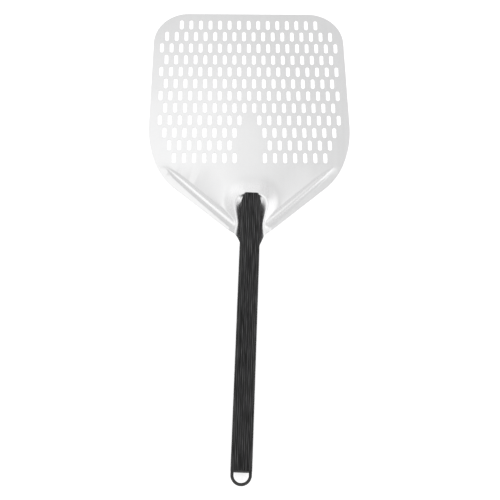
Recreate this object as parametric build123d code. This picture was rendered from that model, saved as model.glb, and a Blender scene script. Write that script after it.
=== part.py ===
from build123d import *
import os

# Perforated pizza peel: a pressed aluminium blade, riveted under a fluted oval tube with a hanging loop.
# Millimetres. +Z up, blade underside at z = 0, +Y towards the blade's front edge, handle towards -Y.
# The origin is on the blade's underside and centreline, in line with the ninth row of slots.

# Blade sheet
SHEET = 1.5
FRONT_Y = 206.0
FRONT_HALF_WIDTH = 160.3
FRONT_CORNER_R = 59.0
SHOULDER = (166.0, -46.2)
SHOULDER_R = 173.0
TAPER = (141.3, -106.4)
TAPER_R = 110.0
NECK = (22.1, -205.0)
NECK_R = 35.0
TONGUE_END = (5.9, -240.0)
TONGUE_R = 5.0

# Slots: staggered rows of round-ended slots, long axis along Y
SLOT_WIDTH = 6.2
SLOT_LENGTH = 18.5
SLOT_PITCH = 16.4
ROW_PITCH = 23.0
FIRST_ROW_Y = 184.0
# Innermost and outermost slot of each row, front to back, in slot pitches from the centreline
SLOT_ROWS = [
    (0, 7), (0.5, 8.5), (0, 9), (0.5, 8.5), (0, 9), (0.5, 8.5),
    (0, 9), (0.5, 8.5), (1, 9), (1.5, 8.5), (2, 8), (1.5, 7.5),
]

# Stiffening ribs pressed up along both tapered edges, outer end first: (x, y, base width, rise)
RIB_SECTIONS = [
    (134.0, -87.0, 5.0, 0.3),
    (121.0, -99.5, 13.0, 1.8),
    (105.0, -114.0, 15.5, 2.6),
    (72.0, -144.0, 17.5, 3.2),
    (22.5, -188.0, 20.0, 3.7),
]
RIB_RIM = 1.7

# Seat: a low swell round a trough, in whose floor the tube lies. Outlines in the handle's own axes
SEAT_TOP = 2.7
SWELL_TOP = 5.8
SWELL_FOOT = [(44.0, -94.0), (48.0, -150.0), (35.0, -186.0), (39.0, -262.0)]
SWELL_FOOT_RADII = [35.0, 30.0, 20.0, 0]
SWELL_CREST = [(26.5, -141.0), (27.0, -154.0), (21.5, -186.0), (36.0, -262.0)]
TROUGH_DEPTH = 4.2
TROUGH_FLOOR = [(12.8, -135.6), (16.0, -152.0), (11.5, -186.0), (15.0, -262.0)]
TROUGH_MOUTH = [(24.5, -132.0), (30.5, -152.0), (21.0, -186.0), (40.0, -262.0)]
SEAT_RADII = [9.0, 30.0, 20.0, 0]
HOLLOW_INSET = 4.0

# Handle tube, lying on the seat and turned a little about the vertical
TUBE_WIDTH = 31.0
TUBE_HEIGHT = 23.6
TUBE_CORNER_R = 9.0
TUBE_WALL = 2.2
TUBE_FRONT_Y = -140.8
TUBE_REAR_Y = -569.7
TUBE_TIP_CUT = (5.2, 10.5)
FLUTE_COUNT = 30
FLUTE_R = 1.3
FLUTE_DEPTH = 0.75
HANDLE_SKEW = 2.38
SKEW_PIVOT_Y = -186.0

# Plugs and hanging loop
FRONT_PLUG_RECESS = 7.0
FRONT_PLUG_LENGTH = 9.0
CAP_PLUG_LENGTH = 22.0
PLUG_FIT = 0.05
PLUG_CHAMFER = 1.0
LOOP_ROD = 4.5
LOOP_WIDTH = 30.7
LOOP_STRAIGHT = 4.6
PIN_DIAMETER = 3.0
PIN_LENGTH = 9.0
PIN_FROM_END = 9.0
PIN_CHAMFER = 0.4

# Blind rivets, set from below
RIVET_SHANK = 4.8
RIVET_HOLE = 4.9
RIVET_FLANGE = 9.5
RIVET_FLANGE_HEIGHT = 1.0
RIVET_BULB = 7.6
RIVET_BULB_HEIGHT = 3.2
RIVET_CHAMFER = 0.6
MANDREL = 2.6
MANDREL_RECESS = 0.3
MANDREL_HEAD = 4.4
MANDREL_HEAD_HEIGHT = 1.2
MANDREL_CHAMFER = 0.4
RIVET_YS = [-162.0, -186.0, -210.0]

TUBE_Z = SEAT_TOP + TUBE_HEIGHT / 2
FLOOR_Z = SEAT_TOP + TUBE_WALL
SEAT_UNDERSIDE = SEAT_TOP - SHEET
FLANGE_LOW = SEAT_UNDERSIDE - RIVET_FLANGE_HEIGHT
BULB_TOP = FLOOR_Z + RIVET_BULB_HEIGHT
PIN_Y = TUBE_REAR_Y + PIN_FROM_END
PIN_LOW = SEAT_TOP + FLUTE_DEPTH
EPS = 0.02


def on_handle(shape):
    """Turns a shape, modelled with the tube's axis along Y, to where the handle lies."""
    pivot = Pos(0, SKEW_PIVOT_Y, 0)
    return pivot * Rot(0, 0, -HANDLE_SKEW) * Pos(0, -SKEW_PIVOT_Y, 0) * shape


def mirrored_outline(corners, radii):
    """A face, symmetric about x = 0, given by its right-hand corners and the radius of each."""
    left = [(-x, y) for x, y in corners]
    return make_face(FilletPolyline(*left, *reversed(corners), radius=[*radii, *reversed(radii)], close=True))


def blade_outline():
    corners = [(FRONT_HALF_WIDTH, FRONT_Y), SHOULDER, TAPER, NECK, TONGUE_END]
    return mirrored_outline(corners, [FRONT_CORNER_R, SHOULDER_R, TAPER_R, NECK_R, TONGUE_R])


def slots():
    """All slots as one flat sketch."""
    places = []
    for row, (inner, outer) in enumerate(SLOT_ROWS):
        y = FIRST_ROW_Y - row * ROW_PITCH
        for step in range(int(outer - inner) + 1):
            x = (inner + step) * SLOT_PITCH
            places += [(x, y)] if x == 0 else [(x, y), (-x, y)]
    return Sketch() + [Pos(x, y) * SlotOverall(SLOT_LENGTH, SLOT_WIDTH, rotation=90) for x, y in places]


def rib_bead(base_z, shrink=0.0, drop=0.0):
    """The right rib as a loft of domed sections. Shrunk and dropped, it is the hollow under the rib."""
    stations = [Vector(x, y, 0) for x, y, _, _ in RIB_SECTIONS]
    sections = []
    for i, (_, _, width, rise) in enumerate(RIB_SECTIONS):
        along = (stations[min(i + 1, len(stations) - 1)] - stations[max(i - 1, 0)]).normalized()
        plane = Plane(origin=stations[i], x_dir=Vector(0, 0, 1).cross(along), z_dir=along)
        half = max(width / 2 - shrink, 0.6)
        crest = max(SHEET + rise - drop, base_z + 0.4)
        dome = ThreePointArc((-half, base_z), (0, crest), (half, base_z))
        sections.append(plane * make_face([dome, Line((half, base_z), (-half, base_z))]))
    return loft(sections, ruled=True)


def both_sides(shape):
    return [shape, mirror(shape, about=Plane.YZ)]


def sloped_form(low_outline, low, high_outline, high):
    """A form with sloping walls between two level outlines, both drawn in the handle's own axes."""
    return on_handle(loft([Pos(0, 0, low) * low_outline, Pos(0, 0, high) * high_outline], ruled=True))


def swell():
    foot = mirrored_outline(SWELL_FOOT, SWELL_FOOT_RADII)
    crest = mirrored_outline(SWELL_CREST, SEAT_RADII)
    return sloped_form(foot, SHEET / 2, crest, SWELL_TOP)


def trough():
    bottom = mirrored_outline(TROUGH_FLOOR, SEAT_RADII)
    mouth = mirrored_outline(TROUGH_MOUTH, SEAT_RADII)
    return sloped_form(bottom, SEAT_TOP, mouth, SEAT_TOP + TROUGH_DEPTH)


def swell_hollow():
    """The space under the seat, as high as the underside of the trough's floor."""
    foot = [(x - HOLLOW_INSET, y - HOLLOW_INSET) for x, y in SWELL_FOOT]
    crest = [(x - HOLLOW_INSET / 2, y - HOLLOW_INSET / 2) for x, y in SWELL_CREST]
    foot_face = mirrored_outline(foot, SWELL_FOOT_RADII)
    return sloped_form(foot_face, -EPS, mirrored_outline(crest, SEAT_RADII), SEAT_UNDERSIDE)


def tube_profile():
    """The tube's plain oval outline, round the crests of its flutes."""
    return RectangleRounded(TUBE_WIDTH, TUBE_HEIGHT, TUBE_CORNER_R)


def along_tube(profile, front_y, rear_y):
    """A profile drawn along the tube's axis between two places on it."""
    plane = Plane(origin=(0, front_y, TUBE_Z), x_dir=(-1, 0, 0), z_dir=(0, -1, 0))
    return extrude(plane * profile, amount=front_y - rear_y)


def upright_rod(diameter, y, low, high):
    return Pos(0, y, low) * Cylinder(diameter / 2, high - low, align=(Align.CENTER, Align.CENTER, Align.MIN))


def blade():
    outline = blade_outline()
    solid = extrude(outline, amount=SHEET)
    solid += swell()
    solid += both_sides(rib_bead(SHEET / 2))
    solid = solid & extrude(outline, amount=TUBE_Z)
    solid -= trough()
    solid -= on_handle(along_tube(tube_profile(), TUBE_FRONT_Y, TUBE_REAR_Y))
    solid -= swell_hollow()
    for hollow in both_sides(rib_bead(-EPS, RIB_RIM, SHEET)):
        solid -= hollow
    solid -= extrude(slots(), amount=SHEET)
    for y in RIVET_YS:
        solid -= on_handle(upright_rod(RIVET_HOLE, y, 0, SWELL_TOP))
    return solid


def flute_grooves():
    """Round grooves, evenly spaced round the tube's outline, with a crest at the middle of its top."""
    wire = tube_profile().wire()
    start = wire.param_at_point(Vector(0, TUBE_HEIGHT / 2, 0))
    grooves = []
    for i in range(FLUTE_COUNT):
        at = (start + (i + 0.5) / FLUTE_COUNT) % 1
        point = wire.position_at(at)
        outward = wire.tangent_at(at).cross(Vector(0, 0, 1))
        if outward.dot(point) < 0:
            outward = outward * -1
        centre = point + outward * (FLUTE_R - FLUTE_DEPTH)
        grooves.append(Pos(centre.X, centre.Y) * Circle(FLUTE_R))
    return grooves


def bore_profile(shrink=0.0):
    inset = TUBE_WALL + shrink
    return RectangleRounded(TUBE_WIDTH - 2 * inset, TUBE_HEIGHT - 2 * inset, TUBE_CORNER_R - inset)


def tip_wedge():
    """What is cut off the right corner of the tube's tip, with room to spare outside it."""
    across, back = TUBE_TIP_CUT
    front = Vector(TUBE_WIDTH / 2 - across, TUBE_FRONT_Y)
    side = Vector(TUBE_WIDTH / 2, TUBE_FRONT_Y - back)
    outside = Vector(TUBE_WIDTH / 2 + back, TUBE_FRONT_Y + back)
    corners = [front * 2 - side, side * 2 - front, outside]
    return extrude(make_face(Polyline(*corners, close=True)), amount=2 * TUBE_Z, dir=(0, 0, 1))


def handle_tube():
    profile = tube_profile() - flute_grooves() - bore_profile()
    tube = along_tube(profile, TUBE_FRONT_Y, TUBE_REAR_Y)
    for wedge in both_sides(tip_wedge()):
        tube -= wedge
    for y in RIVET_YS:
        tube -= upright_rod(RIVET_HOLE, y, 0, TUBE_Z)
    tube -= upright_rod(PIN_DIAMETER + 2 * EPS, PIN_Y, 0, TUBE_Z)
    return on_handle(tube)


def plug(front_y, rear_y, inner_end):
    """A plug that fills the bore and is chamfered at its inner end: 0 for the rear end, -1 for the front."""
    body = along_tube(bore_profile(PLUG_FIT), front_y, rear_y)
    return chamfer(body.faces().sort_by(Axis.Y)[inner_end].edges(), PLUG_CHAMFER)


def front_plug():
    front_y = TUBE_FRONT_Y - FRONT_PLUG_RECESS
    return on_handle(plug(front_y, front_y - FRONT_PLUG_LENGTH, 0))


def loop():
    """The hanging loop: a round rod bent to a U, in line with the tube's sides."""
    radius = (LOOP_WIDTH - LOOP_ROD) / 2
    turn_y = TUBE_REAR_Y - LOOP_STRAIGHT
    path = Wire([
        Line((radius, TUBE_REAR_Y, TUBE_Z), (radius, turn_y, TUBE_Z)),
        ThreePointArc((radius, turn_y, TUBE_Z), (0, turn_y - radius, TUBE_Z), (-radius, turn_y, TUBE_Z)),
        Line((-radius, turn_y, TUBE_Z), (-radius, TUBE_REAR_Y, TUBE_Z)),
    ])
    section = Plane(origin=(radius, TUBE_REAR_Y, TUBE_Z), z_dir=(0, -1, 0)) * Circle(LOOP_ROD / 2)
    return sweep(section, path=path)


def end_cap():
    cap = plug(TUBE_REAR_Y + CAP_PLUG_LENGTH, TUBE_REAR_Y, -1) + loop()
    cap -= upright_rod(PIN_DIAMETER + 2 * EPS, PIN_Y, 0, PIN_LOW + PIN_LENGTH + EPS)
    return on_handle(cap)


def cap_pin():
    """The pin that keeps the cap in, pushed up through the tube's lower wall."""
    pin = upright_rod(PIN_DIAMETER, PIN_Y, PIN_LOW, PIN_LOW + PIN_LENGTH)
    return on_handle(chamfer(pin.edges().filter_by(GeomType.CIRCLE), PIN_CHAMFER))


def turned(points, y):
    """A solid of revolution about the rivet's upright axis, from (radius, height) points."""
    face = make_face(Plane.XZ * Polyline(*points, close=True))
    return Pos(0, y, 0) * revolve(face, Axis.Z)


def rivet_body(y):
    """A set rivet: flange under the seat, shank through both walls, bulb inside the tube."""
    bore, shank = MANDREL / 2, RIVET_SHANK / 2
    flange, bulb = RIVET_FLANGE / 2, RIVET_BULB / 2
    points = [
        (bore, FLANGE_LOW),
        (flange - RIVET_CHAMFER, FLANGE_LOW),
        (flange, FLANGE_LOW + RIVET_CHAMFER),
        (flange, SEAT_UNDERSIDE),
        (shank, SEAT_UNDERSIDE),
        (shank, FLOOR_Z),
        (bulb - RIVET_CHAMFER, FLOOR_Z),
        (bulb, FLOOR_Z + RIVET_CHAMFER),
        (bulb, BULB_TOP - RIVET_CHAMFER),
        (bulb - RIVET_CHAMFER, BULB_TOP),
        (bore, BULB_TOP),
    ]
    return on_handle(turned(points, y))


def rivet_mandrel(y):
    """What stays of the mandrel: its stem in the bore and its head above the bulb."""
    stem, head = MANDREL / 2 - EPS, MANDREL_HEAD / 2
    points = [
        (0, FLANGE_LOW + MANDREL_RECESS),
        (stem, FLANGE_LOW + MANDREL_RECESS),
        (stem, BULB_TOP),
        (head, BULB_TOP),
        (head - MANDREL_CHAMFER, BULB_TOP + MANDREL_HEAD_HEIGHT),
        (0, BULB_TOP + MANDREL_HEAD_HEIGHT),
    ]
    return on_handle(turned(points, y))


def main():
    pieces = {
        "blade": blade(),
        "handle_tube": handle_tube(),
        "front_plug": front_plug(),
        "end_cap": end_cap(),
        "cap_pin": cap_pin(),
    }
    for number, y in enumerate(RIVET_YS, start=1):
        pieces[f"rivet_body_{number}"] = rivet_body(y)
        pieces[f"rivet_mandrel_{number}"] = rivet_mandrel(y)
    os.makedirs("parts", exist_ok=True)
    for name, piece in pieces.items():
        export_step(piece, f"parts/{name}.step")


main()
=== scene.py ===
import math

import bpy
import numpy as np
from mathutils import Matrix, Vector
from mathutils.geometry import delaunay_2d_cdt

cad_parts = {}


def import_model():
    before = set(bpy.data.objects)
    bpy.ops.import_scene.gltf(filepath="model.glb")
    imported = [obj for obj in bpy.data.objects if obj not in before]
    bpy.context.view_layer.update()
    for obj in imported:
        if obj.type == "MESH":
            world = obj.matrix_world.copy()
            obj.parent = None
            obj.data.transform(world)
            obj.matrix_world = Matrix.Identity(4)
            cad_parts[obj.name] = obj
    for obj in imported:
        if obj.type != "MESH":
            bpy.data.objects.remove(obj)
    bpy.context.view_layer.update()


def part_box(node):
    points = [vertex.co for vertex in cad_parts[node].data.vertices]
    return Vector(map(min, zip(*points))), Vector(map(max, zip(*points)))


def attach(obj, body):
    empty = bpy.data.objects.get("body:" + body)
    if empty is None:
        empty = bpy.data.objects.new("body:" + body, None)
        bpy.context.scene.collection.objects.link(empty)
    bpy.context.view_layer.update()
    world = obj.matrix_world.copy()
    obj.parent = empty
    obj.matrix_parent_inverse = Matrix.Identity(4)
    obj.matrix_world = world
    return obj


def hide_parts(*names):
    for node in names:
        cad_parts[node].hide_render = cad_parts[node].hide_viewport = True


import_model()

# Perforated pizza peel. Metres, in the frame of the CAD model: +Z up, blade front towards +Y,
# origin on the blade's underside and centreline. The handle lies turned by HANDLE_SKEW about
# (0, SKEW_PIVOT_Y).

blade_low, blade_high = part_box("blade")
tube_low, tube_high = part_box("handle_tube")

# Blade sheet, as in the CAD model: right-hand corners of its outline and their radii
SHEET = 0.0015
FRONT_Y = blade_high.y
OUTLINE = [(0.1603, FRONT_Y), (0.166, -0.0462), (0.1413, -0.1064), (0.0221, -0.205), (0.0059, blade_low.y)]
OUTLINE_RADII = [0.059, 0.173, 0.110, 0.035, 0.005]
EDGE_ROUND = 0.00015

# Slots: staggered rows, long axis along Y; per row the innermost and outermost slot, in pitches
SLOT_WIDTH = 0.0062
SLOT_LENGTH = 0.0185
SLOT_PITCH = 0.0164
ROW_PITCH = 0.023
FIRST_ROW_Y = 0.184
SLOT_ROWS = [
    (0, 7), (0.5, 8.5), (0, 9), (0.5, 8.5), (0, 9), (0.5, 8.5),
    (0, 9), (0.5, 8.5), (1, 9), (1.5, 8.5), (2, 8), (1.5, 7.5),
]
SLOT_END_STEPS = 9

# Pressed ribs, outer end first: (x, y, half width half way through the sheet, rise above it)
RIB = [
    (0.1340, -0.0870, 0.0025, 0.0003),
    (0.1210, -0.0995, 0.0065, 0.0018),
    (0.1050, -0.1140, 0.0078, 0.0026),
    (0.0720, -0.1440, 0.0088, 0.0032),
    (0.0225, -0.1880, 0.0100, 0.0037),
]

# Seat: a low swell round a trough, in whose floor the tube lies. Outlines in the handle's own axes
SEAT_TOP = tube_low.z
SWELL_TOP = 0.0058
SWELL_FOOT = [(0.044, -0.094), (0.048, -0.150), (0.035, -0.186), (0.039, -0.262)]
SWELL_FOOT_RADII = [0.035, 0.030, 0.020, 0.0]
SWELL_CREST = [(0.0265, -0.141), (0.027, -0.154), (0.0215, -0.186), (0.036, -0.262)]
TROUGH_DEPTH = 0.0042
TROUGH_FLOOR = [(0.0128, -0.1356), (0.016, -0.152), (0.0115, -0.186), (0.015, -0.262)]
TROUGH_MOUTH = [(0.0245, -0.132), (0.0305, -0.152), (0.021, -0.186), (0.040, -0.262)]
SEAT_RADII = [0.009, 0.030, 0.020, 0.0]
PRESS_BLEND = 0.0012
# Rise over which the painted highlight on the raised metal fades in
PAINTED_HIGHLIGHT_RISE = 0.002

# How finely the blade is divided: round its edge, round the seat, and over the pressed features
EDGE_ARC_STEP = 0.002
EDGE_LINE_STEP = 0.003
SEAT_ARC_STEP = 0.0015
SEAT_LINE_STEP = 0.01
PRESSED_GRID = 0.0011
PRESSED_HALF_WIDTH = 0.145
PRESSED_FRONT_Y = -0.075

# Handle tube
HANDLE_SKEW = math.radians(2.38)
SKEW_PIVOT_Y = -0.186
TUBE_WIDTH = 0.031
TUBE_HEIGHT = tube_high.z - tube_low.z
TUBE_CORNER_R = 0.009
TUBE_WALL = 0.0022
TUBE_FRONT_Y = -0.1408
TUBE_REAR_Y = -0.5697
TUBE_TIP_CUT = (0.0052, 0.0105)
TUBE_Z = (tube_low.z + tube_high.z) / 2
FLUTES = 30
FLUTE_R = 0.0013
FLUTE_DEPTH = 0.00075
FLUTE_STEPS = 14
CREST_ROUND = 0.00008
END_CHAMFER = 0.0009
LEAST_CUT = 0.0001
TIP_STRAIGHT = 0.014
REAR_STRAIGHT = 0.012
BORE_RING_INSET = 0.03

# Plugs, loop, pin and rivets
FRONT_PLUG_RECESS = 0.007
FRONT_PLUG_LENGTH = 0.009
CAP_PLUG_LENGTH = 0.022
PLUG_FIT = 0.00005
PLUG_STEPS = 96
LOOP_ROD_R = 0.00225
LOOP_RADIUS = 0.0131
LOOP_STRAIGHT = 0.0046
RIVET_HOLE_R = 0.00245
RIVET_BORE_R = 0.0013
RIVET_SHANK_R = 0.0024
RIVET_BULB_R = 0.0038
RIVET_BULB_EDGE = 0.0008
RIVET_FLANGE_EDGE = 0.0003
MANDREL_STEM_R = 0.00128
MANDREL_HEAD_HEIGHT = 0.0012


# ---- outlines and meshes ----

def unit(v):
    return v / np.linalg.norm(v, axis=-1, keepdims=True)


def mirrored(corners, radii):
    """A closed counterclockwise outline, symmetric about x = 0, from its right-hand corners, front first."""
    left = [(-x, y) for x, y in corners]
    return np.array(left + corners[::-1]), np.array(radii + radii[::-1])


def filleted(corners, radii, arc_step, line_step):
    """Points round a closed counterclockwise outline with rounded corners, and its outward normals."""
    points, normals = [], []
    for i, corner in enumerate(corners):
        to_last = unit(corners[i - 1] - corner)
        to_next = unit(corners[(i + 1) % len(corners)] - corner)
        half = math.acos(np.clip(to_last @ to_next, -1, 1)) / 2
        tangent = radii[i] / math.tan(half)
        centre = corner + unit(to_last + to_next) * radii[i] / math.sin(half)
        start = corner + to_last * tangent
        end = corner + to_next * tangent
        turn = math.pi - 2 * half
        convex = to_last[0] * to_next[1] - to_last[1] * to_next[0] < 0
        first = math.atan2(*(start - centre)[::-1])
        count = max(2, math.ceil(turn * radii[i] / arc_step) + 1) if radii[i] else 2
        for share in np.linspace(0, 1, count):
            angle = first + (turn if convex else -turn) * share
            out = np.array([math.cos(angle), math.sin(angle)])
            points.append(centre + out * radii[i])
            normals.append(out if convex else -out)
        after = corners[(i + 1) % len(corners)]
        beyond = corners[(i + 2) % len(corners)]
        next_half = math.acos(np.clip(unit(corner - after) @ unit(beyond - after), -1, 1)) / 2
        line_end = after - to_next * radii[(i + 1) % len(corners)] / math.tan(next_half)
        steps = math.ceil(np.linalg.norm(line_end - end) / line_step)
        side = np.array([to_next[1], -to_next[0]])
        for step in range(1, steps):
            points.append(end + (line_end - end) * step / steps)
            normals.append(side)
    return np.array(points), np.array(normals)


def polygon_distance(points, outline):
    """Distance of each point from a closed outline: positive outside it, negative inside."""
    nearest = np.full(len(points), np.inf)
    inside = np.zeros(len(points), bool)
    for a, b in zip(outline, np.roll(outline, -1, axis=0)):
        along = np.clip((points - a) @ (b - a) / max((b - a) @ (b - a), 1e-18), 0, 1)
        nearest = np.minimum(nearest, np.linalg.norm(points - a - along[:, None] * (b - a), axis=1))
        crosses = (a[1] > points[:, 1]) != (b[1] > points[:, 1])
        level = (points[:, 1] - a[1]) / (b[1] - a[1] if b[1] != a[1] else 1)
        inside ^= crosses & (points[:, 0] < a[0] + level * (b[0] - a[0]))
    return np.where(inside, -nearest, nearest)


def smooth(t):
    """0 to 1, eased at both ends."""
    t = np.clip(t, 0, 1)
    return t * t * (3 - 2 * t)


def smooth_max(a, b, width):
    """The larger of two heights, with the crease between them rounded over this width."""
    overlap = np.clip(1 - np.abs(a - b) / width, 0, 1)
    return np.maximum(a, b) + width * overlap**3 / 6


def smooth_min(a, b, width):
    return -smooth_max(-a, -b, width)


def rings_to_faces(rings, count):
    """Quads between closed rings of count points each, given as the index of each ring's first point."""
    faces = []
    for low, high in zip(rings, rings[1:]):
        for i in range(count):
            j = (i + 1) % count
            faces.append((low + i, low + j, high + j, high + i))
    return faces


def facing(faces, vertices, normals):
    """The faces, each turned so that it faces the way its first corner's normal does."""
    turned = []
    for face in faces:
        a, b, c = (vertices[i] for i in face[:3])
        ahead = np.cross(b - a, c - a) @ normals[list(face)].mean(axis=0) > 0
        turned.append(face if ahead else face[::-1])
    return turned


def new_piece(name, vertices, faces, node, normals=None, crest=None):
    """A mesh piece that stands for one CAD node."""
    mesh = bpy.data.meshes.new(name)
    mesh.from_pydata([tuple(v) for v in vertices], [], faces)
    mesh.validate()
    mesh.shade_smooth()
    if normals is None:
        mesh.set_sharp_from_angle(angle=math.radians(38))
    else:
        mesh.normals_split_custom_set_from_vertices([tuple(n) for n in normals])
    attribute = mesh.attributes.new("crest", "FLOAT", "POINT")
    if crest is not None:
        attribute.data.foreach_set("value", np.asarray(crest, np.float32))
    piece = bpy.data.objects.new(name, mesh)
    bpy.context.scene.collection.objects.link(piece)
    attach(piece, "root")
    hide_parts(node)
    return piece


def on_handle(points):
    """Points in the handle's own axes, turned to where it lies."""
    points = np.array(points, float)
    x, y = points[:, 0].copy(), points[:, 1] - SKEW_PIVOT_Y
    cos, sin = math.cos(HANDLE_SKEW), math.sin(HANDLE_SKEW)
    points[:, 0] = x * cos + y * sin
    points[:, 1] = y * cos - x * sin + SKEW_PIVOT_Y
    return points


def off_handle(points):
    """Plan points, turned back into the handle's own axes."""
    x, y = points[:, 0], points[:, 1] - SKEW_PIVOT_Y
    cos, sin = math.cos(HANDLE_SKEW), math.sin(HANDLE_SKEW)
    return np.column_stack([x * cos - y * sin, y * cos + x * sin + SKEW_PIVOT_Y])


# ---- blade ----

def rib_line():
    """A smooth curve through the rib's stations, each point with its half width and rise."""
    stations = np.array([RIB[0], *RIB, RIB[-1]])
    line = []
    for i in range(len(RIB) - 1):
        a, b, c, d = stations[i:i + 4]
        for t in np.linspace(0, 1, 16, endpoint=False):
            line.append(0.5 * (2 * b + (c - a) * t + (2 * a - 5 * b + 4 * c - d) * t**2
                               + (3 * b - a - 3 * c + d) * t**3))
    line.append(stations[-1])
    return np.array(line)


def rib_dome(points, line):
    """Height of the domed ribs' surface, the same on both sides. It runs on down through the sheet."""
    points = np.column_stack([np.abs(points[:, 0]), points[:, 1]])
    nearest = np.full(len(points), np.inf)
    half = np.ones(len(points))
    rise = np.zeros(len(points))
    for a, b in zip(line, line[1:]):
        step = b[:2] - a[:2]
        along = np.clip((points - a[:2]) @ step / (step @ step), 0, 1)
        distance = np.linalg.norm(points - a[:2] - along[:, None] * step, axis=1)
        closer = distance < nearest
        nearest[closer] = distance[closer]
        half[closer] = (a[2] + along * (b[2] - a[2]))[closer]
        rise[closer] = (a[3] + along * (b[3] - a[3]))[closer]
    return SHEET / 2 + (rise + SHEET / 2) * (1 - (nearest / half)**2)


def seat_outlines():
    """The swell's foot and crest, the trough's floor and mouth."""
    corners = (SWELL_FOOT, SWELL_CREST, TROUGH_FLOOR, TROUGH_MOUTH)
    radii = (SWELL_FOOT_RADII, SEAT_RADII, SEAT_RADII, SEAT_RADII)
    pairs = zip(corners, radii)
    return [filleted(*mirrored(*pair), SEAT_ARC_STEP, SEAT_LINE_STEP)[0] for pair in pairs]


def slope(points, inner, outer):
    """0 inside the inner outline, 1 outside the outer one, rising evenly between them."""
    from_inner = np.maximum(polygon_distance(points, inner), 0)
    from_outer = np.maximum(-polygon_distance(points, outer), 0)
    return from_inner / np.maximum(from_inner + from_outer, 1e-9)


def blade_height(points, line, outlines):
    """Height of the blade's top face: the ribs and the swell, with the trough cut into them."""
    foot, crest, floor_edge, mouth = outlines
    places = off_handle(points)
    swell = SHEET / 2 + (SWELL_TOP - SHEET / 2) * (1 - slope(places, crest, foot))
    trough = SEAT_TOP + TROUGH_DEPTH * slope(places, floor_edge, mouth)
    raised = smooth_max(smooth_max(SHEET, rib_dome(points, line), PRESS_BLEND), swell, PRESS_BLEND)
    return np.minimum(smooth_min(raised, trough, PRESS_BLEND), blade_high.z)


def slot_centres():
    """The middle of each slot, row by row from the front."""
    for row, (inner, outer) in enumerate(SLOT_ROWS):
        for step in range(int(outer - inner) + 1):
            x = (inner + step) * SLOT_PITCH
            for side in ([1] if x == 0 else [1, -1]):
                yield np.array([side * x, FIRST_ROW_Y - row * ROW_PITCH])


def slot_loop(centre):
    """A slot's wall, and the normals that point into its opening."""
    angles = np.linspace(0, math.pi, SLOT_END_STEPS)
    radial = np.array([[math.cos(a), math.sin(a)] for a in (*angles, *(angles + math.pi))])
    ends = np.where(np.arange(len(radial)) < SLOT_END_STEPS, 1, -1) * (SLOT_LENGTH - SLOT_WIDTH) / 2
    points = centre + radial * SLOT_WIDTH / 2
    points[:, 1] += ends
    return points, -radial


def circle_loop(centre, radius, steps=32):
    """A round hole's wall, and the normals that point into its opening."""
    radial = np.array([[math.cos(a), math.sin(a)] for a in np.arange(steps) * 2 * math.pi / steps])
    return centre + radial * radius, -radial


def rivet_places():
    """The middle of each rivet, taken from the CAD."""
    for number in (1, 2, 3):
        low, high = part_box(f"rivet_body_{number}")
        yield np.array([(low.x + high.x) / 2, (low.y + high.y) / 2])


def fine_points(outline, heights, spacing):
    """A triangular grid over the pressed features, clear of the blade's edge and the rivet holes."""
    xs = np.arange(-PRESSED_HALF_WIDTH, PRESSED_HALF_WIDTH + 0.0001, spacing)
    ys = np.arange(blade_low.y, PRESSED_FRONT_Y, spacing * math.sqrt(3) / 2)
    grid = np.array([(x + (row % 2) * spacing / 2, y) for row, y in enumerate(ys) for x in xs])
    pressed = heights(grid) > SHEET + 2e-5
    pressed &= polygon_distance(grid, outline) < -(EDGE_ROUND + spacing / 2)
    for place in rivet_places():
        pressed &= np.linalg.norm(grid - place, axis=1) > RIVET_HOLE_R + EDGE_ROUND + spacing / 2
    return grid[pressed]


def cut_edges():
    """The sheet's cut edges, its outline first, with the normals that point out of the metal."""
    outline, outward = filleted(*mirrored(OUTLINE, OUTLINE_RADII), EDGE_ARC_STEP, EDGE_LINE_STEP)
    outline[:, 0] = np.clip(outline[:, 0], blade_low.x, blade_high.x)
    loops = [(outline, outward)]
    loops += [slot_loop(centre) for centre in slot_centres()]
    loops += [circle_loop(place, RIVET_HOLE_R) for place in rivet_places()]
    return loops


def in_the_metal(points, edge):
    """Which plan points lie inside the blade's edge and outside its slots and rivet holes."""
    kept = polygon_distance(points, edge) < 0
    for centre in slot_centres():
        away = np.abs(points - centre)
        away[:, 1] = np.maximum(away[:, 1] - (SLOT_LENGTH - SLOT_WIDTH) / 2, 0)
        kept &= np.linalg.norm(away, axis=1) > SLOT_WIDTH / 2
    for place in rivet_places():
        kept &= np.linalg.norm(points - place, axis=1) > RIVET_HOLE_R
    return kept


def flat_skin(loops, heights):
    """The sheet's plan points, its triangles, and the index of each loop's first point."""
    flat, edges, starts = [], [], []
    for points, out in loops:
        start = sum(map(len, flat))
        starts.append(start)
        flat.append(points - out * EDGE_ROUND)
        edges += [(start + i, start + (i + 1) % len(points)) for i in range(len(points))]
    outline = loops[0][0]
    flat.append(fine_points(outline, heights, PRESSED_GRID))
    flat = np.concatenate(flat)
    _, _, triangles, sources, _, _ = delaunay_2d_cdt([Vector(p) for p in flat], edges, [], 0, 1e-7)
    source = np.array([s[0] for s in sources])
    triangles = source[np.array(triangles)]
    kept = in_the_metal(flat[triangles].mean(axis=1), flat[:len(outline)])
    return flat, triangles[kept], starts


def upward_normals(flat, heights, probe=0.00005):
    """The top face's normals, from its slope either side of each point."""
    slope_x = (heights(flat + (probe, 0)) - heights(flat - (probe, 0))) / (2 * probe)
    slope_y = (heights(flat + (0, probe)) - heights(flat - (0, probe))) / (2 * probe)
    return unit(np.column_stack([-slope_x, -slope_y, np.ones(len(flat))]))


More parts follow.
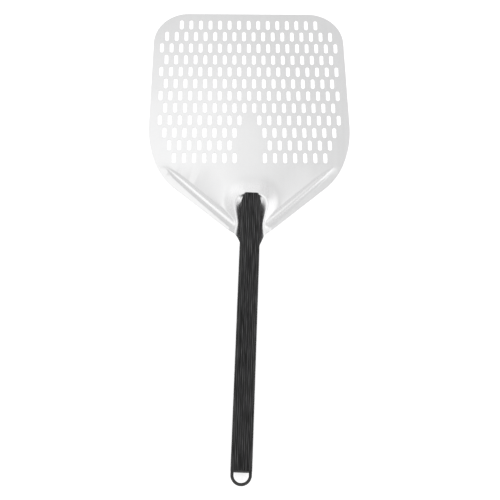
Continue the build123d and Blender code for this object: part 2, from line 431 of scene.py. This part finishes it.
def rounded_edges(loops, starts, top, up):
    """Rings that lead from the top face over each rounded cut edge to the underside."""
    vertices, normals, faces = [], [], []
    count = 2 * len(top)
    for start, (points, out) in zip(starts, loops):
        size = len(points)
        chosen = slice(start, start + size)
        side = np.column_stack([out, np.zeros(size)])
        rings = [start]
        for face, turn in ((1, 0.25), (1, 0.5), (-1, 0.5), (-1, 0.25)):
            angle = turn * math.pi
            base = top[chosen] if face == 1 else top[chosen] - SHEET
            place = points - out * EDGE_ROUND * (1 - math.sin(angle))
            vertices.append(np.column_stack([place, base - face * EDGE_ROUND * (1 - math.cos(angle))]))
            normals.append(unit(face * up[chosen] * math.cos(angle) + side * math.sin(angle)))
            rings.append(count)
            count += size
        rings.append(len(top) + start)
        faces += rings_to_faces(rings, size)
    return np.concatenate(vertices), np.concatenate(normals), faces


def blade():
    """The pressed sheet: one triangulated skin on both faces, joined by rounded cut edges."""
    line, outlines = rib_line(), seat_outlines()

    def heights(points):
        return blade_height(points, line, outlines)

    loops = cut_edges()
    flat, triangles, starts = flat_skin(loops, heights)
    top, up = heights(flat), upward_normals(flat, heights)
    edge_vertices, edge_normals, edge_faces = rounded_edges(loops, starts, top, up)

    skins = [np.column_stack([flat, top]), np.column_stack([flat, top - SHEET])]
    vertices = np.concatenate([*skins, edge_vertices])
    normals = np.concatenate([up, -up, edge_normals])
    # Painted highlight: the crest mask makes the top face paler over the raised ribs and swell and on the
    # cut edges, standing for their sheen and also for burnish
    painted_crest_highlight = smooth((top - SHEET) / PAINTED_HIGHLIGHT_RISE)
    crest = np.concatenate([painted_crest_highlight, np.zeros(len(flat)), np.ones(len(edge_vertices))])
    faces = [tuple(int(i) for i in t) for t in triangles]
    faces += [tuple(int(i) + len(flat) for i in t[::-1]) for t in triangles]
    faces += facing(edge_faces, vertices, normals)
    return new_piece("blade_pressing", vertices, faces, "blade", normals, crest)


# ---- handle tube, plugs and loop ----

def oval(width, height, corner, places):
    """Points and outward normals at these shares of the way round an oval's outline, from the top middle."""
    runs = [
        ("line", width / 2 - corner),
        ("arc", corner * math.pi / 2),
        ("line", height - 2 * corner),
        ("arc", corner * math.pi / 2),
        ("line", width - 2 * corner),
        ("arc", corner * math.pi / 2),
        ("line", height - 2 * corner),
        ("arc", corner * math.pi / 2),
        ("line", width / 2 - corner),
    ]
    total = sum(length for _, length in runs)
    points, normals = [], []
    for share in places:
        left = share % 1 * total
        place, heading = np.array([0.0, height / 2]), 0.0
        for kind, length in runs:
            step = min(left, length)
            if kind == "line":
                place = place + step * np.array([math.cos(heading), math.sin(heading)])
            else:
                turned = heading - step / corner
                place = place + corner * np.array([
                    math.sin(heading) - math.sin(turned), math.cos(turned) - math.cos(heading)])
                heading = turned
            left -= step
            if left <= 0:
                break
        points.append(place)
        normals.append((-math.sin(heading), math.cos(heading)))
    return np.array(points), np.array(normals)


def fluted_profile():
    """The tube's section, an oval with round grooves, with each point's depth and the same oval set in."""
    count = FLUTES * FLUTE_STEPS
    shares = np.arange(count) / count
    points, normals = oval(TUBE_WIDTH, TUBE_HEIGHT, TUBE_CORNER_R, shares)
    perimeter = np.linalg.norm(points - np.roll(points, 1, axis=0), axis=1).sum()
    across = ((shares * FLUTES) % 1 - 0.5) * perimeter / FLUTES
    groove = np.sqrt(np.maximum(FLUTE_R**2 - across**2, 0)) - (FLUTE_R - FLUTE_DEPTH)
    depth = (groove + np.sqrt(groove**2 + CREST_ROUND**2)) / 2
    return points - normals * depth[:, None], depth, points - normals * END_CHAMFER


def tip_y(x):
    """Where the tube's tip ends at this distance from its middle: both corners are cut off."""
    across, back = TUBE_TIP_CUT
    into = smooth_max(np.abs(x) - (TUBE_WIDTH / 2 - across), 0, 0.0004)
    return TUBE_FRONT_Y - into * back / across


def tube():
    """The fluted tube with its bore. Its chamfered ends cut the crests further back than the grooves."""
    outer, depth, set_in = fluted_profile()
    count = len(outer)
    bore, _ = oval(TUBE_WIDTH - 2 * TUBE_WALL, TUBE_HEIGHT - 2 * TUBE_WALL, TUBE_CORNER_R - TUBE_WALL,
                   np.arange(count) / count)
    rear = np.full(count, TUBE_REAR_Y)
    cut = np.maximum(END_CHAMFER - depth, LEAST_CUT)
    stations = [
        (bore, tip_y(bore[:, 0]) - BORE_RING_INSET, 0),
        (bore, tip_y(bore[:, 0]), 0),
        (set_in, tip_y(set_in[:, 0]), 0),
        (outer, tip_y(outer[:, 0]) - cut, 0),
        (outer, tip_y(outer[:, 0]) - cut - LEAST_CUT, 1),
        (outer, np.full(count, TUBE_FRONT_Y - TIP_STRAIGHT), 1),
        (outer, np.full(count, TUBE_REAR_Y + REAR_STRAIGHT), 1),
        (outer, rear + cut + LEAST_CUT, 1),
        (outer, rear + cut, 0),
        (set_in, rear, 0),
        (bore, rear, 0),
        (bore, rear + BORE_RING_INSET, 0),
    ]
    vertices, rings, crest = [], [], []
    for profile, y, shows_crest in stations:
        rings.append(count * len(rings))
        vertices.append(np.column_stack([profile[:, 0], y, profile[:, 1] + TUBE_Z]))
        # crest: 1 on the flute crests, falling to 0 in the grooves, and 0 on the cut ends and in the bore;
        # the material paints shade and highlight from it
        crest.append(shows_crest * (1 - depth / FLUTE_DEPTH))
    faces = rings_to_faces(rings, count) + rings_to_faces([rings[-1], rings[0]], count)
    vertices = on_handle(np.concatenate(vertices))
    crest = np.concatenate(crest)
    return new_piece("fluted_tube", vertices, faces, "handle_tube", crest=crest)


def lofted(name, stations, node, extra=None):
    """A solid through closed rings of equal size, with flat ends, and perhaps a second part beside it with
    crest 1, which its material shows paler than the solid.
    """
    count = len(stations[0])
    rings = [i * count for i in range(len(stations))]
    vertices = np.concatenate(stations)
    faces = rings_to_faces(rings, count)
    faces += [tuple(range(count))[::-1], tuple(range(rings[-1], rings[-1] + count))]
    crest = np.zeros(len(vertices))
    if extra:
        more, more_faces = extra
        faces += [tuple(i + len(vertices) for i in face) for face in more_faces]
        vertices = np.concatenate([vertices, more])
        crest = np.concatenate([crest, np.ones(len(more))])
    return new_piece(name, on_handle(vertices), faces, node, crest=crest)


def plug_rings(front_y, rear_y, front_round, rear_round):
    """Rings of a plug that fills the bore, with rounded ends."""
    inset = TUBE_WALL + PLUG_FIT
    width, height = TUBE_WIDTH - 2 * inset, TUBE_HEIGHT - 2 * inset
    shares = np.arange(PLUG_STEPS) / PLUG_STEPS
    rings = []
    for y, shrink in (
        (front_y, front_round), (front_y - front_round * 0.3, front_round * 0.3), (front_y - front_round, 0),
        (rear_y + rear_round, 0), (rear_y + rear_round * 0.3, rear_round * 0.3), (rear_y, rear_round),
    ):
        profile, _ = oval(width - 2 * shrink, height - 2 * shrink, TUBE_CORNER_R - inset - shrink, shares)
        rings.append(np.column_stack([profile[:, 0], np.full(PLUG_STEPS, y), profile[:, 1] + TUBE_Z]))
    return rings


def loop_mesh():
    """The U-shaped hanging loop, a round rod with short straight legs."""
    turn_y = TUBE_REAR_Y - LOOP_STRAIGHT
    path = [(LOOP_RADIUS, TUBE_REAR_Y - t * LOOP_STRAIGHT, 0.0) for t in np.linspace(0, 1, 5)[:-1]]
    path += [(LOOP_RADIUS * math.cos(a), turn_y - LOOP_RADIUS * math.sin(a), a)
             for a in np.linspace(0, math.pi, 49)]
    path += [(-LOOP_RADIUS, turn_y + t * LOOP_STRAIGHT, math.pi) for t in np.linspace(0, 1, 5)[1:]]
    steps = 32
    vertices = []
    for x, y, angle in path:
        for i in range(steps):
            round_rod = 2 * math.pi * i / steps
            out = LOOP_ROD_R * math.cos(round_rod)
            vertices.append((x + out * math.cos(angle), y - out * math.sin(angle),
                             TUBE_Z + LOOP_ROD_R * math.sin(round_rod)))
    rings = [i * steps for i in range(len(path))]
    faces = rings_to_faces(rings, steps)
    faces += [tuple(range(steps))[::-1], tuple(range(rings[-1], rings[-1] + steps))]
    return np.array(vertices), faces


def front_plug():
    """The front plug, set far enough into the tube to stay inside its cut corners."""
    front_y = TUBE_FRONT_Y - FRONT_PLUG_RECESS
    rings = plug_rings(front_y, front_y - FRONT_PLUG_LENGTH, 0.0005, 0.001)
    return lofted("front_plug_moulding", rings, "front_plug")


def end_cap():
    """The rear plug and its hanging loop."""
    rings = plug_rings(TUBE_REAR_Y + CAP_PLUG_LENGTH, TUBE_REAR_Y, 0.001, 0.0002)
    return lofted("end_cap_moulding", rings, "end_cap", extra=loop_mesh())


def turned(name, node, slot, profile, steps=48):
    """A piece of revolution about an upright axis through the middle of its CAD node."""
    low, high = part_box(node)
    centre = np.array([(low.x + high.x) / 2, (low.y + high.y) / 2])
    vertices, rings = [], []
    for radius, z in profile:
        rings.append(len(vertices))
        for i in range(steps):
            angle = 2 * math.pi * i / steps
            vertices.append((centre[0] + radius * math.cos(angle), centre[1] + radius * math.sin(angle), z))
    faces = rings_to_faces(rings, steps)
    if profile[0] != profile[-1]:
        faces += [tuple(range(steps))[::-1], tuple(range(rings[-1], rings[-1] + steps))]
    return new_piece(name, np.array(vertices), faces, node)


def rivet(number):
    """A set blind rivet: domed flange under the seat, shank, and bulb on the tube's lower wall."""
    low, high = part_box(f"rivet_body_{number}")
    flange = (high.x - low.x) / 2
    under = SEAT_TOP - SHEET
    rim = under - RIVET_FLANGE_EDGE
    wall_top = SEAT_TOP + TUBE_WALL
    shoulder = RIVET_BULB_R - RIVET_BULB_EDGE
    angles = np.radians([28, 40, 52, 64, 76, 90])
    dome = [(flange * math.sin(a), rim - (rim - low.z) * math.cos(a)) for a in angles]
    shank = [(RIVET_SHANK_R, under), (RIVET_SHANK_R, wall_top)]
    bulb = [(shoulder, wall_top), (RIVET_BULB_R, wall_top + RIVET_BULB_EDGE),
            (RIVET_BULB_R, high.z - RIVET_BULB_EDGE), (shoulder, high.z)]
    lip = (RIVET_BORE_R, low.z + 0.0001)
    profile = [lip, *dome, (flange, under), *shank, *bulb, (RIVET_BORE_R, high.z), lip]
    return turned(f"blind_rivet_{number}", f"rivet_body_{number}", "rivet_metal", profile)


def mandrel(number):
    """What stays of a rivet's mandrel: its broken end, stem and head."""
    low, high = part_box(f"rivet_mandrel_{number}")
    head = (high.x - low.x) / 2
    head_low = high.z - MANDREL_HEAD_HEIGHT
    stem = [(0.0009, low.z), (MANDREL_STEM_R, low.z + 0.0003), (MANDREL_STEM_R, head_low)]
    profile = [*stem, (head, head_low), (head, high.z - 0.0005), (head - 0.0005, high.z)]
    return turned(f"mandrel_{number}", f"rivet_mandrel_{number}", "mandrel_steel", profile)


def pin():
    """The pin that keeps the end cap in, with eased ends."""
    low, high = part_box("cap_pin")
    radius = (high.x - low.x) / 2
    profile = [(radius - 0.0005, low.z), (radius - 0.0001, low.z + 0.0002), (radius, low.z + 0.0005),
               (radius, high.z - 0.0004), (radius - 0.0004, high.z)]
    return turned("cap_retaining_pin", "cap_pin", "pin_steel", profile, 32)


# ---- materials ----

def shader(name, color, metallic, roughness):
    """A new material, its node tree and its shader."""
    material = bpy.data.materials.new(name)
    material.use_nodes = True
    bsdf = material.node_tree.nodes["Principled BSDF"]
    bsdf.inputs["Base Color"].default_value = (*color, 1)
    bsdf.inputs["Metallic"].default_value = metallic
    bsdf.inputs["Roughness"].default_value = roughness
    return material, material.node_tree, bsdf


def node(tree, kind, inputs=(), **settings):
    """A new node, its inputs linked where a socket is given and set where a value is."""
    made = tree.nodes.new(kind)
    for key, value in settings.items():
        setattr(made, key, value)
    for key, value in dict(inputs).items():
        if isinstance(value, bpy.types.NodeSocket):
            tree.links.new(value, made.inputs[key])
        else:
            made.inputs[key].default_value = value
    return made


def noise(tree, scale, stretch=(1, 1, 1), turn=0.0, detail=4.0):
    """Noise with features about 1 / scale metres across, in the object's own frame."""
    coords = node(tree, "ShaderNodeTexCoord").outputs["Object"]
    placed = node(tree, "ShaderNodeMapping", {"Vector": coords, "Rotation": (0, 0, turn), "Scale": stretch})
    made = node(tree, "ShaderNodeTexNoise", {"Vector": placed.outputs[0], "Scale": scale, "Detail": detail})
    return made.outputs["Fac"]


def spread(tree, value, low, high, start=0.3, end=0.7):
    """Maps a value from start..end to low..high."""
    made = node(tree, "ShaderNodeMapRange", {"Value": value, "From Min": start, "From Max": end,
                                             "To Min": low, "To Max": high})
    return made.outputs[0]


def maths(tree, operation, a, b):
    return node(tree, "ShaderNodeMath", {0: a, 1: b}, operation=operation).outputs[0]


def grey(tree, value, tint=(1.0, 1.0, 1.0)):
    """A colour of this brightness, with a slight tint."""
    made = node(tree, "ShaderNodeCombineColor")
    for key, share in zip(("Red", "Green", "Blue"), tint):
        tree.links.new(maths(tree, "MULTIPLY", value, share), made.inputs[key])
    return made.outputs[0]


def bump(tree, bsdf, height, distance, strength=1.0):
    made = node(tree, "ShaderNodeBump", {"Height": height, "Distance": distance, "Strength": strength})
    tree.links.new(made.outputs[0], bsdf.inputs["Normal"])


def satin_aluminium():
    """Etched and anodised sheet: fine matt grain, faint scratches, and a painted highlight where it is
    raised or cut, which also stands for burnish.
    """
    material, tree, bsdf = shader("satin_aluminium", (0.86, 0.86, 0.86), 1.0, 0.34)
    crest = node(tree, "ShaderNodeAttribute", attribute_name="crest").outputs["Fac"]
    grain = noise(tree, 1600)
    clouds = noise(tree, 14, detail=2)
    scratches = noise(tree, 260, stretch=(1, 0.03, 1), turn=0.12)
    tone = maths(tree, "ADD", spread(tree, grain, -0.012, 0.012), spread(tree, clouds, 0.845, 0.87))
    tone = maths(tree, "ADD", tone, spread(tree, scratches, -0.006, 0.006))
    # Painted highlight: paler base colour where crest is set, on the raised metal and the cut edges
    tone = maths(tree, "ADD", tone, maths(tree, "MULTIPLY", crest, 0.03))
    tree.links.new(grey(tree, tone, (1.0, 1.0, 1.003)), bsdf.inputs["Base Color"])
    rough = maths(tree, "ADD", spread(tree, grain, 0.31, 0.37), spread(tree, scratches, -0.02, 0.02))
    rough = maths(tree, "SUBTRACT", rough, maths(tree, "MULTIPLY", crest, 0.06))
    tree.links.new(rough, bsdf.inputs["Roughness"])
    bump(tree, bsdf, grain, 0.000012)
    return material


def black_anodised():
    """Drawn tube, anodised black: uneven streaks along it, with painted shade in the grooves and on the cut
    ends and a painted highlight on the flute crests.
    """
    material, tree, bsdf = shader("black_anodised", (0.03, 0.03, 0.03), 0.6, 0.42)
    crest = node(tree, "ShaderNodeAttribute", attribute_name="crest").outputs["Fac"]
    streaks = noise(tree, 650, stretch=(1, 0.05, 1), turn=HANDLE_SKEW, detail=3)
    grain = noise(tree, 2500)
    # Painted shade and highlight: the flute crests at 1.15 times the streaked tone, the grooves, cut ends
    # and bore at a quarter of it
    painted_flute_shading = maths(tree, "ADD", maths(tree, "MULTIPLY", crest, 0.9), 0.25)
    tone = maths(tree, "MULTIPLY", spread(tree, streaks, 0.004, 0.1, 0.34, 0.66), painted_flute_shading)
    tone = maths(tree, "ADD", tone, spread(tree, grain, 0.0, 0.004))
    tree.links.new(grey(tree, tone, (1.0, 1.0, 1.02)), bsdf.inputs["Base Color"])
    tree.links.new(spread(tree, streaks, 0.38, 0.5), bsdf.inputs["Roughness"])
    bump(tree, bsdf, maths(tree, "ADD", streaks, maths(tree, "MULTIPLY", grain, 0.3)), 0.00002)
    return material


def black_polymer(name, plain, rub_marks_and_loop_tone, roughness):
    """Moulded polymer with a fine spark-eroded grain, paler where crest is set; on the end cap the plug's
    darker tone is painted shade at the tube's end.
    """
    material, tree, bsdf = shader(name, (plain, plain, plain), 0.0, roughness)
    bsdf.inputs["Specular IOR Level"].default_value = 0.06
    crest = node(tree, "ShaderNodeAttribute", attribute_name="crest").outputs["Fac"]
    grain = noise(tree, 1400)
    clouds = noise(tree, 60, detail=2)
    # Painted shade: where crest is 0, on the end cap's plug in the tube's end, the tone stays darker than on
    # the loop rod
    painted_plug_shade = spread(tree, crest, plain, rub_marks_and_loop_tone, 0.0, 1.0)
    tone = maths(tree, "MULTIPLY", spread(tree, clouds, 0.9, 1.1), painted_plug_shade)
    tree.links.new(grey(tree, tone), bsdf.inputs["Base Color"])
    tree.links.new(spread(tree, grain, roughness - 0.06, roughness + 0.06), bsdf.inputs["Roughness"])
    bump(tree, bsdf, grain, 0.00003)
    return material


def plain_metal(name, color, roughness):
    """Small turned metal parts, with a fine grain and faint rubbing marks."""
    material, tree, bsdf = shader(name, (color, color, color), 1.0, roughness)
    grain = noise(tree, 3000)
    rubs = noise(tree, 500)
    rub_marks_and_loop_tone = spread(tree, rubs, color - 0.04, color + 0.04)
    tone = maths(tree, "ADD", spread(tree, grain, -0.02, 0.02), rub_marks_and_loop_tone)
    tree.links.new(grey(tree, tone), bsdf.inputs["Base Color"])
    tree.links.new(spread(tree, rubs, roughness - 0.08, roughness + 0.08), bsdf.inputs["Roughness"])
    bump(tree, bsdf, grain, 0.000008)
    return material


def finish_piece(piece, material):
    piece.data.materials.clear()
    piece.data.materials.append(material)


# ---- studio ----

def floor():
    """A plain pale floor, just below the peel."""
    mesh = bpy.data.meshes.new("floor")
    mesh.from_pydata([(-4, -4, 0), (4, -4, 0), (4, 4, 0), (-4, 4, 0)], [], [(0, 1, 2, 3)])
    made = bpy.data.objects.new("floor", mesh)
    bpy.context.scene.collection.objects.link(made)
    made.location.z = -0.0001
    material, _, bsdf = shader("floor_white", (0.95, 0.95, 0.95), 0.0, 0.9)
    bsdf.inputs["Specular IOR Level"].default_value = 0.0
    bsdf.inputs["Emission Color"].default_value = (1, 1, 1, 1)
    bsdf.inputs["Emission Strength"].default_value = 0.56
    mesh.materials.append(material)
    made.visible_glossy = False


def softbox(name, place, size, level):
    """A softbox that faces straight down, this much brighter than the studio behind it."""
    light = bpy.data.lights.new(name, "AREA")
    light.shape = "RECTANGLE"
    light.size, light.size_y = size
    light.energy = level * math.pi * size[0] * size[1]
    made = bpy.data.objects.new(name, light)
    made.location = place
    bpy.context.scene.collection.objects.link(made)


def world():
    """A white studio, a little brighter at the horizon than overhead."""
    made = bpy.data.worlds.new("studio")
    made.use_nodes = True
    bpy.context.scene.world = made
    tree = made.node_tree
    direction = node(tree, "ShaderNodeTexCoord").outputs["Generated"]
    parts = node(tree, "ShaderNodeSeparateXYZ", {"Vector": direction})
    level = spread(tree, parts.outputs["Z"], 0.82, 0.73, 0.0, 0.9)
    tree.links.new(grey(tree, level), tree.nodes["Background"].inputs["Color"])


def camera():
    data = bpy.data.cameras.new("camera")
    data.lens = 66.31
    data.sensor_width = 36
    made = bpy.data.objects.new("camera", data)
    made.location = (-0.03375, -0.73202, 1.34809)
    made.rotation_euler = [math.radians(a) for a in (20.5024, -1.2471, -0.4189)]
    bpy.context.scene.collection.objects.link(made)
    bpy.context.scene.camera = made


finish_piece(blade(), satin_aluminium())
finish_piece(tube(), black_anodised())
finish_piece(front_plug(), black_polymer("plug_polymer", 0.03, 0.05, 0.5))
# The plug's 0.03 against the loop's 0.065 is painted shade on the plug
finish_piece(end_cap(), black_polymer("loop_polymer", 0.03, 0.065, 0.6))
rivet_aluminium = plain_metal("rivet_aluminium", 0.7, 0.35)
mandrel_steel = plain_metal("mandrel_steel", 0.45, 0.3)
for number in (1, 2, 3):
    finish_piece(rivet(number), rivet_aluminium)
    finish_piece(mandrel(number), mandrel_steel)
finish_piece(pin(), plain_metal("pin_steel", 0.55, 0.25))

floor()
world()
softbox("left_softbox", (-0.22, 0.26, 1.0), (0.55, 0.93), 0.48)
softbox("right_softbox", (0.81, 0.36, 1.0), (0.47, 1.05), 0.7)
camera()
bpy.context.scene.view_settings.view_transform = "Standard"
